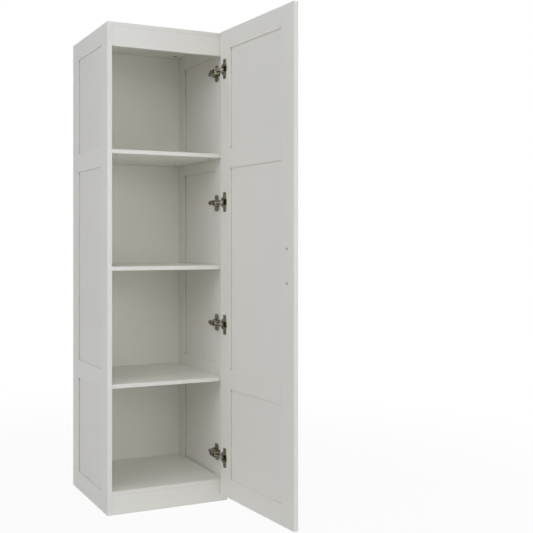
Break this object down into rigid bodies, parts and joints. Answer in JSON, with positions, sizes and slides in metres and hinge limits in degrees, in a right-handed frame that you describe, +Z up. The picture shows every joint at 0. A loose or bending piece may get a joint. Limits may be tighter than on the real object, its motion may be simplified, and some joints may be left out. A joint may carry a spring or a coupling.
{
  "type": "broom cupboard",
  "caption": "Tall narrow white cupboard with a framed single door standing open on concealed hinges, framed sides, shelves, plinth and a black bow handle.",
  "frame": {"origin": "middle of the carcass's front lower edge, on the floor", "axes": "+X to the right as seen from the front, +Y back from the front of the carcass, +Z up"},
  "size_m": [0.4283, 0.772, 1.48],
  "materials": {
    "back_white": "matt white hardboard",
    "board_white": "satin white melamine board",
    "dowel_beech": "plain fluted beech",
    "fitting_zinc": "zinc-plated fitting",
    "frame_white": "satin white painted board",
    "handle_black": "satin black powder coat",
    "hinge_steel": "nickel-plated pressed steel",
    "link_nickel": "bright nickel-plated link",
    "panel_white": "satin white painted thin panel",
    "pin_steel": "bright steel pin",
    "screw_steel": "nickel-plated screw"
  },
  "bodies": {
    "carcass": {"back_panel": "back_white", "cam_bolts": "fitting_zinc", "cam_locks": "fitting_zinc", "dowels": "dowel_beech", "fascia": "frame_white", "floor_board": "board_white", "hinge_arm_pins": "pin_steel", "hinge_arm_screws": "screw_steel", "hinge_arms": "hinge_steel", "hinge_plate_screws": "screw_steel", "hinge_plates": "hinge_steel", "hinge_springs": "pin_steel", "left_side_bottom_panel": "panel_white", "left_side_bottom_rail": "frame_white", "left_side_front_stile": "frame_white", "left_side_lower_rail": "frame_white", "left_side_middle_panel": "panel_white", "left_side_rear_stile": "frame_white", "left_side_top_panel": "panel_white", "left_side_top_rail": "frame_white", "left_side_upper_rail": "frame_white", "lower_shelf": "board_white", "middle_shelf": "board_white", "plinth": "frame_white", "right_side_bottom_panel": "panel_white", "right_side_bottom_rail": "frame_white", "right_side_front_stile": "frame_white", "right_side_lower_rail": "frame_white", "right_side_middle_panel": "panel_white", "right_side_rear_stile": "frame_white", "right_side_top_panel": "panel_white", "right_side_top_rail": "frame_white", "right_side_upper_rail": "frame_white", "top_board": "board_white", "upper_shelf": "board_white"},
    "hinge_long_links": {"hinge_long_links": "link_nickel"},
    "door": {"door_bottom_panel": "panel_white", "door_bottom_rail": "frame_white", "door_handle_stile": "frame_white", "door_hinge_stile": "frame_white", "door_lower_rail": "frame_white", "door_middle_panel": "panel_white", "door_top_panel": "panel_white", "door_top_rail": "frame_white", "door_upper_rail": "frame_white", "handle": "handle_black", "handle_screws": "screw_steel", "hinge_cup_pins": "pin_steel", "hinge_cup_screws": "screw_steel", "hinge_cups": "hinge_steel"},
    "hinge_short_links": {"hinge_short_links": "link_nickel"}
  },
  "joints": [
    {"name": "door_swing", "type": "hinge", "parent": "hinge_long_links", "child": "door", "pos_m": [0.17202, -0.02381, 0.7525], "axis": [0, 0, 1], "range_deg": [-143.82, 0]},
    {"name": "long_link_swing", "type": "hinge", "parent": "carcass", "child": "hinge_long_links", "pos_m": [0.16, 0.0053, 0.7525], "axis": [0, 0, 1], "range_deg": [0, 49.84]},
    {"name": "short_link_swing", "type": "hinge", "parent": "carcass", "child": "hinge_short_links", "pos_m": [0.169, -0.003, 0.7525], "axis": [0, 0, 1], "range_deg": [0, 65.82]}
  ],
  "couplings": [
    {"joint": "long_link_swing", "follows": "door_swing", "ratio": -0.34641},
    {"joint": "short_link_swing", "follows": "door_swing", "ratio": -0.45752}
  ]
}
